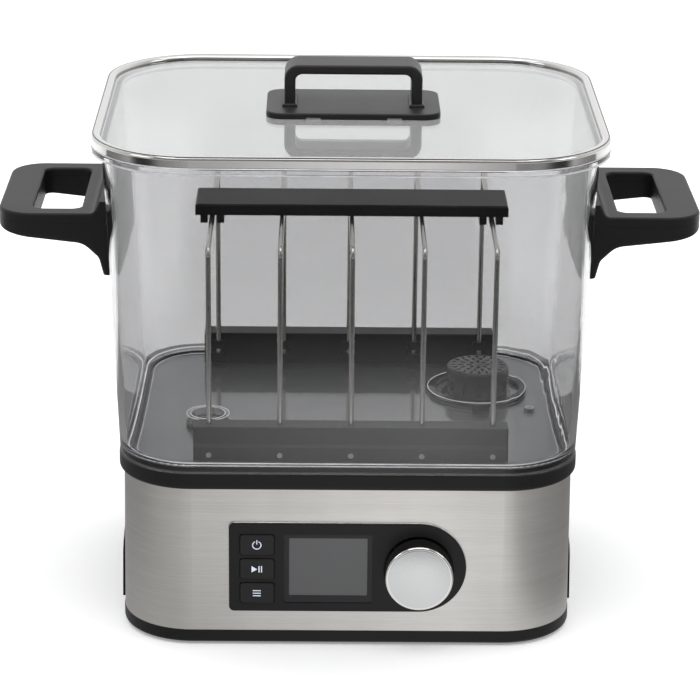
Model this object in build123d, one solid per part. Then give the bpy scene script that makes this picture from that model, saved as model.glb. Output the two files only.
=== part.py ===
from build123d import *
import os

# Countertop water-bath cooker: a brushed steel base, a clear tank with two side handles,
# a glass lid, a bag rack that stands in the tank, and a circulating pump under the tank floor.
# Millimetres. Origin at the centre of the footprint, on the surface it stands on.
# +X is the user's right, -Y is the front with the control panel, +Z is up.

os.makedirs("parts", exist_ok=True)

# ---------------------------------------------------------------- driving dimensions
# Plan outlines are rounded rectangles given as half width, half depth and corner radius.
BASE_HALF_WIDTH = 125.0
BASE_HALF_DEPTH = 101.4
BASE_CORNER = 39.5
BASE_TAPER = 0.7           # the steel wrap leans in by this much at its top
FOOT_HEIGHT = 1.2
TRAY_TOP = 8.7
STEEL_TOP = 92.3
COLLAR_TOP = 101.8
STEEL_THICKNESS = 0.8

TANK_FOOT_HALF_WIDTH = 126.4
TANK_FOOT_HALF_DEPTH = 102.8
TANK_CORNER = 41.0
TANK_FLARE = 7.6           # how far the wall moves out between foot and flange
TANK_WALL = 3.0
FLOOR_TOP = 103.5
FLOOR_THICKNESS = 3.2
FLANGE_UNDERSIDE = 273.4
FLANGE_TOP = 277.4
RIM_HALF_WIDTH = 139.6
RIM_HALF_DEPTH = 116.1
RIM_CORNER = 54.0

LID_UNDERSIDE = 277.7
LID_TOP = 283.3
GLASS_UNDERSIDE = 278.3
GLASS_TOP = 281.1
LID_HANDLE_TOP = 307.6
LID_HANDLE_HALF_WIDTH = 38.1
LID_HANDLE_DEPTH = 24.0
LID_PLATE_HALF_WIDTH = 48.0
LID_PLATE_HALF_DEPTH = 28.0
LID_PLATE_THICKNESS = 3.4
LID_HANDLE_X = 1.5          # the grip and its plate sit this far right of the middle

HANDLE_REACH = 193.0       # from the middle of the tank to the handle's outer edge
HANDLE_HALF_LENGTH = 52.3
HANDLE_TOP = 233.5
HANDLE_SPLIT = 228.1

RACK_X = 1.3
WIRE_PITCH = 38.9
WIRE_RADIUS = 1.5
WIRE_COUNT = 5
FRONT_WIRE_Y = -79.0
REAR_WIRE_Y = 74.4
WIRE_TOP = 222.2
RAIL_HALF_LENGTH = 86.3
RAIL_BOTTOM = 103.8
RAIL_TOP = 122.5
FRONT_RAIL_FACE = -86.5
FRONT_RAIL_BACK = -71.5
REAR_RAIL_FACE = 76.2
REAR_RAIL_BACK = 90.0
BAR_TOP = 229.5
BAR_BOTTOM = 223.3
BAR_FRONT = -16.5
BAR_BACK = 18.5
BAR_HALF_LENGTH = 87.3
CLIP_BOTTOM = 218.8         # the clip teeth at both ends hang below the bar

PANEL_LEFT = -65.2
PANEL_RIGHT = 65.3
PANEL_CENTRE_Z = 46.8
PANEL_HEIGHT = 52.2
PANEL_PROUD = 1.4
BUTTON_X = -49.7
BUTTON_WIDTH = 18.6
BUTTON_HEIGHT = 11.7
BUTTON_CENTRES_Z = {"power_button": 60.5, "play_button": 46.2, "menu_button": 31.9}
BUTTON_TRAVEL = 1.0
SCREEN_X = -10.6
SCREEN_Z = 46.2
SCREEN_FRAME = (48.4, 40.7)
KNOB_X = 39.1
KNOB_Z = 46.4
KNOB_RADIUS = 18.6
KNOB_REACH = 17.0          # from the steel to the knob's face
RECESS_RADIUS = 19.4
SHAFT_RADIUS = 3.0

SUMP_X = 76.4
SUMP_Y = 31.2
SUMP_RADIUS = 29.5
STRAINER_RADIUS = 18.5
NOZZLE_X = -79.0
NOZZLE_Y = -29.0
NOZZLE_RADIUS = 10.1

RUNNING_GAP = 0.05         # radial clearance on shafts that turn
SLIDE_GAP = 0.3            # clearance round pieces that slide or lift out

FRONT = -BASE_HALF_DEPTH


# ---------------------------------------------------------------- small helpers
def save(name, shape):
    export_step(shape, f"parts/{name}.step")


def rounded(half_width, half_depth, radius, z):
    return Plane.XY.offset(z) * RectangleRounded(2 * half_width, 2 * half_depth, radius)


def slab(half_width, half_depth, radius, bottom, top):
    return extrude(rounded(half_width, half_depth, radius, bottom), amount=top - bottom)


def flared(half_width, half_depth, radius, bottom, top, flare):
    low = rounded(half_width, half_depth, radius, bottom)
    high = rounded(half_width + flare, half_depth + flare, radius + flare, top)
    return loft([low, high])


def disc(x, y, bottom, top, radius):
    return Pos(x, y, (bottom + top) / 2) * Cylinder(radius, top - bottom)


def block(x0, x1, y0, y1, z0, z1):
    centre = Pos((x0 + x1) / 2, (y0 + y1) / 2, (z0 + z1) / 2)
    return centre * Box(x1 - x0, y1 - y0, z1 - z0)


def facing_disc(x, z, y0, y1, radius):
    turned = Pos(x, (y0 + y1) / 2, z) * Rot(90, 0, 0)
    return turned * Cylinder(radius, abs(y1 - y0))


def front_plate(sketch, y0, y1):
    """Extrude a sketch drawn in X and Z from y0 back to y1."""
    plane = Plane(origin=(0, y0, 0), x_dir=(1, 0, 0), z_dir=(0, -1, 0))
    return extrude(plane * sketch, amount=-(y1 - y0))


def tank_outer(extra, bottom=COLLAR_TOP, top=FLANGE_UNDERSIDE):
    """The tank's outer surface as a solid, moved out by extra, between two heights."""
    span = FLANGE_UNDERSIDE - COLLAR_TOP
    low = TANK_FLARE * (bottom - COLLAR_TOP) / span + extra
    high = TANK_FLARE * (top - COLLAR_TOP) / span + extra
    return flared(
        TANK_FOOT_HALF_WIDTH + low,
        TANK_FOOT_HALF_DEPTH + low,
        TANK_CORNER + low,
        bottom,
        top,
        high - low,
    )


def steel_outer(extra, bottom=TRAY_TOP, top=STEEL_TOP):
    """The steel wrap's outer surface as a solid, moved out by extra."""
    return flared(
        BASE_HALF_WIDTH + extra,
        BASE_HALF_DEPTH + extra,
        BASE_CORNER + extra,
        bottom,
        top,
        -BASE_TAPER,
    )


def panel_outline(inset):
    """Control panel outline in X and Z: small corners at the left, a half circle at the right."""
    height = PANEL_HEIGHT - 2 * inset
    radius = height / 2
    left = PANEL_LEFT + inset
    right = PANEL_RIGHT - inset
    body = Pos((left + right - radius) / 2, PANEL_CENTRE_Z) * Rectangle(right - radius - left, height)
    corners = body.vertices().sort_by(Axis.X)[:2]
    body = fillet(corners, 3.0 - inset * 0.5)
    return body + Pos(right - radius, PANEL_CENTRE_Z) * Circle(radius)


# ---------------------------------------------------------------- base
FOOT_PLACES = [(x, y) for x in (-92, 92) for y in (-70, 70)]
FOOT_POCKET_TOP = FOOT_HEIGHT + 1.6
TRAY_FLOOR = 4.6
TRAY_WALL = 4.0
SEAM_Y = 66.0
COVER_THICKNESS = 2.4
COVER_PROUD = 1.9
INLET_X = -68.0
INLET_Z = 27.0
FLOOR_UNDERSIDE = FLOOR_TOP - FLOOR_THICKNESS
DECK_TOP = 99.9
DECK_UNDERSIDE = 98.4

# ports and pieces of the water circuit
PORT_RADIUS = 21.0
PORT_BORE = 13.6
NOZZLE_BORE = 5.0
SENSOR_X = 105.7
SENSOR_Y = -0.8
SENSOR_RADIUS = 1.8
PUMP_FLOOR = 72.0
PUMP_AXIS_Y = 19.2
WATER_LINE_Z = 80.0
MOTOR_TOP = 66.0
MOTOR_BOTTOM = 30.0
PUMP_SHAFT_RADIUS = 2.0
HEATER_LEFT = -54.0
HEATER_RIGHT = 26.0


def plan_slab(inset, bottom, top):
    """A slab with the base's plan outline, moved in by inset."""
    return slab(BASE_HALF_WIDTH - inset, BASE_HALF_DEPTH - inset, BASE_CORNER - inset, bottom, top)


def along_x(x0, x1, y, z, radius):
    return Pos((x0 + x1) / 2, y, z) * Rot(0, 90, 0) * Cylinder(radius, x1 - x0)


def base_tray():
    """Black bottom moulding: visible ring, floor with air slots, pockets for the feet."""
    ring = plan_slab(-0.3, FOOT_HEIGHT, TRAY_TOP)
    ring = fillet(ring.edges().group_by(Axis.Z)[0], 2.0)
    tray = ring - plan_slab(TRAY_WALL, TRAY_FLOOR, TRAY_TOP + 1)
    tray += plan_slab(1.7, TRAY_TOP - 1, TRAY_TOP + 5) - plan_slab(TRAY_WALL, TRAY_TOP - 2, TRAY_TOP + 6)
    for x, y in FOOT_PLACES:
        tray -= disc(x, y, 0, FOOT_POCKET_TOP, 9.2)
    for row in range(7):
        middle = -24 + row * 8
        tray -= block(-30, 30, middle - 1.5, middle + 1.5, 0, TRAY_FLOOR + 1)
    return tray


def rubber_feet():
    feet = [disc(x, y, 0, FOOT_POCKET_TOP, 9.0) for x, y in FOOT_PLACES]
    return Compound(children=[fillet(foot.edges().group_by(Axis.Z)[0], 0.6) for foot in feet])


def steel_shell():
    """Brushed wrap, open at the back, with an opening behind the control panel."""
    shell = steel_outer(0) - steel_outer(-STEEL_THICKNESS, TRAY_TOP - 0.1, STEEL_TOP + 0.1)
    shell -= block(-150, 150, SEAM_Y, 150, 0, 120)
    return shell - front_plate(panel_outline(2.2), FRONT - 5, FRONT + 12)


def rear_cover():
    """Black back cover whose sides sweep forward and down over the steel."""
    skin = steel_outer(COVER_PROUD) - steel_outer(0.03, TRAY_TOP - 0.1, STEEL_TOP + 0.1)
    corners = [(-55, TRAY_TOP), (-52, 38), (48, 72), (62, STEEL_TOP), (130, STEEL_TOP), (130, TRAY_TOP)]
    outline = make_face(Polyline(*corners, close=True))
    soft = [v for v in outline.vertices() if v.X < 50 and v.Y > TRAY_TOP + 1]
    outline = fillet(soft, 8.0)
    skin &= extrude(Plane.YZ.offset(-160) * outline, amount=320)
    inside = steel_outer(COVER_PROUD - COVER_THICKNESS, TRAY_TOP - 0.1, STEEL_TOP + 0.1)
    wall = (steel_outer(COVER_PROUD) - inside) & block(-150, 150, SEAM_Y + 0.2, 150, 0, 120)
    cover = skin + wall
    for row in range(6):
        z = 30 + row * 7
        cover -= block(0, 76, 90, 120, z - 1.3, z + 1.3)
    return cover - block(INLET_X - 13.8, INLET_X + 13.8, 90, 120, INLET_Z - 10, INLET_Z + 10)


def power_inlet():
    """Appliance inlet in the back cover: flange, socket and three contact blades."""
    back = BASE_HALF_DEPTH + COVER_PROUD
    flange = block(INLET_X - 17, INLET_X + 17, back, back + 2, INLET_Z - 13, INLET_Z + 13)
    flange = fillet(flange.edges().filter_by(Axis.Y), 3.0)
    inlet = flange + block(INLET_X - 13.5, INLET_X + 13.5, back - 22, back + 1, INLET_Z - 9.7, INLET_Z + 9.7)
    inlet -= block(INLET_X - 12, INLET_X + 12, back - 17, back + 3, INLET_Z - 8, INLET_Z + 8)
    for x, z in ((-7, -2), (0, 2), (7, -2)):
        middle_x = INLET_X + x
        middle_z = INLET_Z + z
        inlet += block(middle_x - 1, middle_x + 1, back - 18, back - 4, middle_z - 2, middle_z + 2)
    return inlet


def collar_ring():
    """Black ring that closes the base and carries the tank."""
    ring = slab(126.9, 103.3, 41.2, STEEL_TOP, COLLAR_TOP)
    ring = fillet(ring.edges().group_by(Axis.Z)[0], 2.6)
    ring = fillet(ring.edges().group_by(Axis.Z)[-1], 0.8)
    ring -= plan_slab(6.0, STEEL_TOP - 1, COLLAR_TOP + 1)
    return ring - plan_slab(3.4, FLOOR_UNDERSIDE, COLLAR_TOP + 1)


def deck_plate():
    """Brushed plate under the clear floor, with holes for the two water ports and the sensor."""
    plate = plan_slab(6.2, DECK_UNDERSIDE, DECK_TOP)
    plate -= disc(SUMP_X, SUMP_Y, DECK_UNDERSIDE - 1, DECK_TOP + 1, PORT_RADIUS + 0.2)
    plate -= disc(NOZZLE_X, NOZZLE_Y, DECK_UNDERSIDE - 1, DECK_TOP + 1, NOZZLE_BORE + 2.2)
    return plate - disc(SENSOR_X, SENSOR_Y, DECK_UNDERSIDE - 1, DECK_TOP + 1, SENSOR_RADIUS + 0.2)


# ---------------------------------------------------------------- water circuit
def pump_housing():
    """Volute under the strainer, with its outlet pipe leading to the heater."""
    body = disc(SUMP_X, SUMP_Y, PUMP_FLOOR - 3, FLOOR_UNDERSIDE - 0.1, PORT_RADIUS - 0.2)
    body += along_x(SUMP_X - 36, SUMP_X - 14, PUMP_AXIS_Y, WATER_LINE_Z, 5.0)
    body -= disc(SUMP_X, SUMP_Y, PUMP_FLOOR, FLOOR_UNDERSIDE + 1, 17.5)
    body -= disc(SUMP_X, SUMP_Y, PUMP_FLOOR - 4, PUMP_FLOOR + 1, PUMP_SHAFT_RADIUS + RUNNING_GAP)
    return body - along_x(SUMP_X - 37, SUMP_X - 8, PUMP_AXIS_Y, WATER_LINE_Z, 3.4)


def impeller():
    """Open wheel with six blades on its own shaft."""
    wheel = disc(SUMP_X, SUMP_Y, PUMP_FLOOR + 2, PUMP_FLOOR + 4.5, 15.0)
    wheel += disc(SUMP_X, SUMP_Y, PUMP_FLOOR + 2, PUMP_FLOOR + 18, 4.5)
    blade = Pos(9, 0, 0) * Rot(0, 0, 25) * Box(9, 1.4, 10)
    for step in range(6):
        wheel += Pos(SUMP_X, SUMP_Y, PUMP_FLOOR + 8) * Rot(0, 0, 60 * step) * blade
    return wheel + disc(SUMP_X, SUMP_Y, MOTOR_TOP - 3, PUMP_FLOOR + 3, PUMP_SHAFT_RADIUS)


def pump_motor():
    motor = disc(SUMP_X, SUMP_Y, MOTOR_BOTTOM, MOTOR_TOP, 19.0)
    motor = fillet(motor.edges().group_by(Axis.Z)[0], 2.5)
    motor += disc(SUMP_X, SUMP_Y, MOTOR_TOP - 1, PUMP_FLOOR - 3, 12.0)
    return motor - disc(SUMP_X, SUMP_Y, MOTOR_TOP - 4, PUMP_FLOOR, PUMP_SHAFT_RADIUS + RUNNING_GAP)


def motor_bracket():
    """Saddle on four posts that holds the motor above the tray."""
    saddle = block(SUMP_X - 22, SUMP_X + 22, SUMP_Y - 22, SUMP_Y + 22, MOTOR_BOTTOM - 4, MOTOR_BOTTOM)
    for x in (-18, 18):
        for y in (-18, 18):
            saddle += disc(SUMP_X + x, SUMP_Y + y, TRAY_FLOOR, MOTOR_BOTTOM - 3, 3.5)
    return saddle


def flow_heater():
    """Flow-through heater: a steel cylinder lying across the base, with a pipe stub at each end."""
    tube = along_x(HEATER_LEFT, HEATER_RIGHT, PUMP_AXIS_Y, WATER_LINE_Z, 15)
    tube = fillet(tube.edges().filter_by(GeomType.CIRCLE), 2.0)
    tube += along_x(HEATER_RIGHT - 1, HEATER_RIGHT + 7, PUMP_AXIS_Y, WATER_LINE_Z, 5.0)
    return tube + along_x(HEATER_LEFT - 14, HEATER_LEFT + 1, PUMP_AXIS_Y, WATER_LINE_Z, 5.0)


def feed_hose():
    """Short hose from the pump's pipe to the heater."""
    sleeve = along_x(HEATER_RIGHT + 1, SUMP_X - 23, PUMP_AXIS_Y, WATER_LINE_Z, 7.0)
    return sleeve - along_x(HEATER_RIGHT, SUMP_X - 22, PUMP_AXIS_Y, WATER_LINE_Z, 5.0)


def return_hose():
    """Hose from the heater up to the outlet nozzle."""
    points = [
        (HEATER_LEFT - 14.1, PUMP_AXIS_Y, WATER_LINE_Z),
        (NOZZLE_X, PUMP_AXIS_Y, WATER_LINE_Z),
        (NOZZLE_X, NOZZLE_Y, WATER_LINE_Z),
        (NOZZLE_X, NOZZLE_Y, 92.0),
    ]
    path = FilletPolyline(*points, radius=8.5)
    start = Plane(origin=points[0], z_dir=(-1, 0, 0))
    return sweep(start * Circle(6.5), path=path) - sweep(start * Circle(4.0), path=path)


def temperature_sensor():
    """Steel probe through the floor, with a cross recess in its head."""
    probe = disc(SENSOR_X, SENSOR_Y, 86.0, FLOOR_TOP + 1.2, SENSOR_RADIUS)
    probe += disc(SENSOR_X, SENSOR_Y, FLOOR_TOP, FLOOR_TOP + 1.2, 3.2)
    for length, width in ((3.6, 0.7), (0.7, 3.6)):
        probe -= Pos(SENSOR_X, SENSOR_Y, FLOOR_TOP + 1.2) * Box(length, width, 1.2)
    return probe


def sensor_grommet():
    ring = disc(SENSOR_X, SENSOR_Y, DECK_UNDERSIDE - 4, DECK_UNDERSIDE, 5.0)
    return ring - disc(SENSOR_X, SENSOR_Y, DECK_UNDERSIDE - 5, DECK_UNDERSIDE + 1, SENSOR_RADIUS)


# ---------------------------------------------------------------- electronics
def power_board():
    """Mains board standing on posts at the left of the base."""
    board = block(-108, -30, -40, 10, 20, 21.6)
    for x in (-102, -36):
        for y in (-34, 4):
            board += disc(x, y, TRAY_FLOOR, 20.1, 3.0)
    board += block(-100, -80, -30, -6, 21.5, 40)
    board += block(-70, -52, -32, -14, 21.5, 36)
    board += disc(-64, 0, 21.5, 44, 7.0)
    return board + disc(-44, -24, 21.5, 38, 5.0)


def control_board():
    """Board behind the control panel, with a hole for the knob's encoder."""
    board = block(-61, 58, FRONT + 11.2, FRONT + 12.8, 25.5, 68)
    return board - facing_disc(KNOB_X, KNOB_Z, FRONT + 10, FRONT + 14, 4.2)


def display_module():
    return block(SCREEN_X - 22.6, SCREEN_X + 22.6, FRONT + 4.7, FRONT + 11.2, SCREEN_Z - 18.4, SCREEN_Z + 18.4)


def button_switches():
    """Three tactile switches on the control board."""
    switches = []
    for z in BUTTON_CENTRES_Z.values():
        base = block(BUTTON_X - 3, BUTTON_X + 3, FRONT + 8.2, FRONT + 11.2, z - 3, z + 3)
        switches.append(base + facing_disc(BUTTON_X, z, FRONT + 7.2, FRONT + 8.3, 1.6))
    return Compound(children=switches)


def knob_encoder():
    """Rotary encoder on the control board, with the bush that the knob's shaft turns in."""
    body = block(KNOB_X - 7, KNOB_X + 7, FRONT + 4.5, FRONT + 11.2, KNOB_Z - 7, KNOB_Z + 7)
    return body - facing_disc(KNOB_X, KNOB_Z, FRONT + 4, FRONT + 11, SHAFT_RADIUS + RUNNING_GAP)


# ---------------------------------------------------------------- control panel
PANEL_FACE = FRONT - PANEL_PROUD
PANEL_BACK = FRONT + 4.2
WINDOW_FACE = PANEL_FACE + 0.7
BUTTON_PROUD = 0.9
BUTTON_CORNER = 1.4


def control_panel():
    """Black fascia with three button openings, the display opening and the knob recess."""
    panel = front_plate(panel_outline(0), PANEL_FACE, FRONT - 0.05)
    panel = fillet(panel.edges().group_by(Axis.Y)[0], 0.6)
    panel += front_plate(panel_outline(2.4), FRONT - 0.1, PANEL_BACK)
    for z in BUTTON_CENTRES_Z.values():
        hole = RectangleRounded(BUTTON_WIDTH + 2 * SLIDE_GAP, BUTTON_HEIGHT + 2 * SLIDE_GAP, BUTTON_CORNER)
        panel -= front_plate(Pos(BUTTON_X, z) * hole, PANEL_FACE - 1, PANEL_BACK + 1)
    frame = RectangleRounded(*SCREEN_FRAME, 1.2)
    panel -= front_plate(Pos(SCREEN_X, SCREEN_Z) * frame, PANEL_FACE - 1, WINDOW_FACE + 2.0)
    sight = Pos(SCREEN_X, SCREEN_Z) * Rectangle(44.0, 35.4)
    panel -= front_plate(sight, PANEL_FACE, PANEL_BACK + 1)
    panel -= facing_disc(KNOB_X, KNOB_Z, PANEL_FACE - 1, PANEL_FACE + 2.4, RECESS_RADIUS)
    return panel - facing_disc(KNOB_X, KNOB_Z, PANEL_FACE, PANEL_BACK + 1, SHAFT_RADIUS + 0.6)


def display_window():
    """Clear window with a raised edge, set into the fascia."""
    width, height = SCREEN_FRAME
    plate = Pos(SCREEN_X, SCREEN_Z) * RectangleRounded(width - 0.2, height - 0.2, 1.1)
    return front_plate(plate, WINDOW_FACE, WINDOW_FACE + 2.0)


def push_button(name):
    """One rectangular key with a stem that reaches its switch."""
    z = BUTTON_CENTRES_Z[name]
    outline = Pos(BUTTON_X, z) * RectangleRounded(BUTTON_WIDTH, BUTTON_HEIGHT, BUTTON_CORNER)
    key = front_plate(outline, PANEL_FACE - BUTTON_PROUD, PANEL_FACE + 3.0)
    key = fillet(key.edges().group_by(Axis.Y)[0], 0.5)
    return key + facing_disc(BUTTON_X, z, PANEL_FACE + 2.9, FRONT + 7.2 - BUTTON_TRAVEL - 0.1, 2.0)


KNOB_FACE = FRONT - KNOB_REACH


def knob_body():
    """Barrel of the knob with a round-edged front and the shaft behind it."""
    barrel = facing_disc(KNOB_X, KNOB_Z, KNOB_FACE + 1.6, PANEL_FACE + 1.2, KNOB_RADIUS)
    barrel = fillet(barrel.edges().group_by(Axis.Y)[0], 1.2)
    barrel -= facing_disc(KNOB_X, KNOB_Z, KNOB_FACE + 1.0, KNOB_FACE + 2.6, KNOB_RADIUS - 1.5)
    shaft = facing_disc(KNOB_X, KNOB_Z, PANEL_FACE + 1.0, FRONT + 10.4, SHAFT_RADIUS)
    return barrel + shaft


def knob_cap():
    """Slightly domed metal face set into the barrel."""
    radius = KNOB_RADIUS - 1.55
    cap = facing_disc(KNOB_X, KNOB_Z, KNOB_FACE, KNOB_FACE + 2.6, radius)
    sphere = Pos(KNOB_X, KNOB_FACE + 130.0, KNOB_Z) * Sphere(130.0)
    return cap & sphere


# ---------------------------------------------------------------- tank
def tank_shell():
    """Clear tank: flared walls, flat floor with two ports, and the flange that carries the lid."""
    tank = tank_outer(0) + plan_slab(3.7, FLOOR_UNDERSIDE, COLLAR_TOP + 0.1)
    tank += slab(RIM_HALF_WIDTH, RIM_HALF_DEPTH, RIM_CORNER, FLANGE_UNDERSIDE, FLANGE_TOP)
    cavity = flared(
        TANK_FOOT_HALF_WIDTH - TANK_WALL,
        TANK_FOOT_HALF_DEPTH - TANK_WALL,
        TANK_CORNER - TANK_WALL,
        FLOOR_TOP,
        FLANGE_TOP + 1,
        TANK_FLARE,
    )
    cavity = fillet(cavity.edges().group_by(Axis.Z)[0], 6.5)
    tank -= cavity
    tank -= disc(SUMP_X, SUMP_Y, FLOOR_UNDERSIDE - 1, FLOOR_TOP + 1, PORT_BORE)
    tank -= disc(NOZZLE_X, NOZZLE_Y, FLOOR_UNDERSIDE - 1, FLOOR_TOP + 1, NOZZLE_BORE + 2.0)
    tank -= disc(SENSOR_X, SENSOR_Y, FLOOR_UNDERSIDE - 1, FLOOR_TOP + 1, SENSOR_RADIUS)
    rim = tank.edges().group_by(Axis.Z)[-1]
    return fillet(rim, 1.0)


def sump_ring():
    """Clear ring round the strainer, with the small catch tab in front."""
    ring = disc(SUMP_X, SUMP_Y, FLOOR_TOP, FLOOR_TOP + 2.6, SUMP_RADIUS)
    ring -= disc(SUMP_X, SUMP_Y, FLOOR_TOP - 1, FLOOR_TOP + 3, SUMP_RADIUS - 5.0)
    ring = fillet(ring.edges().group_by(Axis.Z)[-1], 0.8)
    tab = block(SUMP_X - 5, SUMP_X + 5, SUMP_Y - 41, SUMP_Y - 27, FLOOR_TOP, FLOOR_TOP + 2.2)
    return ring + fillet(tab.edges().filter_by(Axis.Z), 2.0)


STRAINER_TOP = 119.5
STRAINER_SKIRT = 113.5
STRAINER_BORE = 15.4
PETAL_RINGS = ((5.2, 8), (9.8, 14), (14.4, 20))     # radius and number of the holes in each ring


def strainer():
    """Lift-out strainer: slotted barrel under a cap with three rings of petal-shaped holes."""
    barrel = disc(SUMP_X, SUMP_Y, FLOOR_TOP + 0.3, STRAINER_SKIRT + 1, 17.4)
    slot = Box(40, 1.8, STRAINER_SKIRT - FLOOR_TOP - 4)
    for step in range(6):
        turned = Rot(0, 0, 30 * step) * slot
        barrel -= Pos(SUMP_X, SUMP_Y, (STRAINER_SKIRT + FLOOR_TOP) / 2 + 0.4) * turned
    cap = disc(SUMP_X, SUMP_Y, STRAINER_SKIRT, STRAINER_TOP, STRAINER_RADIUS)
    cap = fillet(cap.edges().group_by(Axis.Z)[-1], 2.2)
    body = barrel + cap - disc(SUMP_X, SUMP_Y, FLOOR_TOP, STRAINER_TOP - 2.4, STRAINER_BORE)
    for radius, count in PETAL_RINGS:
        for step in range(count):
            petal = Rot(0, 0, 360 * step / count) * Pos(radius, 0, 0) * Box(3.0, 1.5, 8)
            body -= Pos(SUMP_X, SUMP_Y, STRAINER_TOP) * petal
    return body


def outlet_nozzle():
    """Clear stepped cup that the heated water comes out of."""
    cup = disc(NOZZLE_X, NOZZLE_Y, FLOOR_TOP, FLOOR_TOP + 2.0, 12.4)
    cup += disc(NOZZLE_X, NOZZLE_Y, FLOOR_TOP, FLOOR_TOP + 6.6, NOZZLE_RADIUS - 0.9)
    cup += disc(NOZZLE_X, NOZZLE_Y, FLOOR_TOP + 5.2, FLOOR_TOP + 7.0, NOZZLE_RADIUS)
    cup += disc(NOZZLE_X, NOZZLE_Y, 92.2, FLOOR_TOP + 1, NOZZLE_BORE + 1.9)
    cup -= disc(NOZZLE_X, NOZZLE_Y, FLOOR_TOP + 1.5, FLOOR_TOP + 8, NOZZLE_RADIUS - 2.4)
    return cup - disc(NOZZLE_X, NOZZLE_Y, 91, FLOOR_TOP + 2, NOZZLE_BORE)


# ---------------------------------------------------------------- side handles
HANDLE_WINDOW = (-174.0, -147.5, 40.5)
HANDLE_FOOT_Z = 198.5
HANDLE_ROOT_TOP = 240.5


def handle_plan(bottom, top):
    """Loop seen from above: round outer corners, a hand window, and a root against the tank."""
    root = -TANK_FOOT_HALF_WIDTH - 2
    length = HANDLE_REACH + root
    outline = Pos(-(HANDLE_REACH - root) / 2, 0) * Rectangle(length, 2 * HANDLE_HALF_LENGTH)
    outline = fillet(outline.vertices().sort_by(Axis.X)[:2], 19.0)
    left, right, half = HANDLE_WINDOW
    window = Pos((left + right) / 2, 0) * RectangleRounded(right - left, 2 * half, 6.0)
    return extrude(Plane.XY.offset(bottom) * (outline - window), amount=top - bottom)


def handle_side(points, soft):
    """A profile in X and Z along the whole handle, with its soft corners rounded."""
    face = make_face(Polyline(*points, close=True))
    for radius, chosen in soft:
        picked = [v for v in face.vertices() if any(abs(v.X - x) + abs(v.Y - z) < 0.01 for x, z in chosen)]
        face = fillet(picked, radius)
    return front_plate(face, -HANDLE_HALF_LENGTH - 1, HANDLE_HALF_LENGTH + 1)


def wall_clear():
    return tank_outer(0.05, HANDLE_FOOT_Z - 6, HANDLE_ROOT_TOP + 6)


def handle_upper():
    """Upper half of the left handle, with a lip that runs up the tank."""
    points = [
        (-128, HANDLE_SPLIT + 0.1),
        (-195, HANDLE_SPLIT + 0.1),
        (-195, HANDLE_TOP),
        (-140, HANDLE_TOP),
        (-136.6, HANDLE_ROOT_TOP),
        (-128, HANDLE_ROOT_TOP),
    ]
    upper = handle_plan(HANDLE_SPLIT, HANDLE_ROOT_TOP + 1)
    upper &= handle_side(points, [(4.0, [(-140, HANDLE_TOP)])])
    face = [e for e in upper.edges() if abs(e.center().Z - HANDLE_TOP) < 0.01 and e.center().X < -141.5]
    return fillet(face, 1.6) - wall_clear()


def handle_lower():
    """Lower half of the left handle, with the root that curves down the tank."""
    points = [
        (-128, HANDLE_SPLIT),
        (-195, HANDLE_SPLIT),
        (-195, 221.5),
        (-146, 216.0),
        (-137.6, 208.0),
        (-135.2, HANDLE_FOOT_Z),
        (-128, HANDLE_FOOT_Z),
    ]
    lower = handle_plan(HANDLE_FOOT_Z - 1, HANDLE_SPLIT)
    lower &= handle_side(points, [(12.0, [(-146, 216.0)]), (6.0, [(-137.6, 208.0)])])
    under = lower.faces().sort_by(Axis.X)[0].edges().sort_by(Axis.Z)[:1]
    return fillet(under, 3.0) - wall_clear()


def handle_screws(side):
    """Three screws that clamp the two handle halves."""
    screws = []
    for x, y in ((-140.5, -38), (-140.5, 38), (-184, 0)):
        head = disc(side * x, y, 222.4, 224.6, 2.6)
        shank = disc(side * x, y, 224.5, 231.0, 1.4)
        screws.append(head + shank)
    return Compound(children=screws)


def screw_clearance():
    """Pockets and pilot holes for the screws of the left handle."""
    pockets = None
    for x, y in ((-140.5, -38), (-140.5, 38), (-184, 0)):
        pocket = disc(x, y, 190, 224.6, 2.8) + disc(x, y, 224.5, 231.0, 1.4)
        pockets = pocket if pockets is None else pockets + pocket
    return pockets


# ---------------------------------------------------------------- lid
LID_SCREW_PLACES = [LID_HANDLE_X + side * 35.1 for side in (-1, 1)]


def lid_rim():
    """Rolled steel band round the glass."""
    band = slab(RIM_HALF_WIDTH - 0.2, RIM_HALF_DEPTH - 0.2, RIM_CORNER, LID_UNDERSIDE, LID_TOP)
    band -= slab(RIM_HALF_WIDTH - 5.2, RIM_HALF_DEPTH - 5.2, RIM_CORNER - 5, LID_UNDERSIDE - 1, LID_TOP + 1)
    band = fillet(band.edges().group_by(Axis.Z)[-1], 2.0)
    return band - lid_glass_blank()


def lid_glass_blank():
    return slab(RIM_HALF_WIDTH - 1.2, RIM_HALF_DEPTH - 1.2, RIM_CORNER - 1, GLASS_UNDERSIDE, GLASS_TOP)


def lid_glass():
    glass = lid_glass_blank()
    for x in LID_SCREW_PLACES:
        glass -= disc(x, 0, GLASS_UNDERSIDE - 1, GLASS_TOP + 1, 3.2)
    return glass


def lid_plate():
    """Black plate between the glass and the lid handle."""
    top = GLASS_TOP + LID_PLATE_THICKNESS
    plate = Pos(LID_HANDLE_X, 0, 0) * slab(LID_PLATE_HALF_WIDTH, LID_PLATE_HALF_DEPTH, 9.0, GLASS_TOP, top)
    plate = fillet(plate.edges().group_by(Axis.Z)[-1], 0.9)
    for x in LID_SCREW_PLACES:
        plate -= disc(x, 0, GLASS_TOP - 1, top + 1, 2.0)
    return plate


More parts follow.
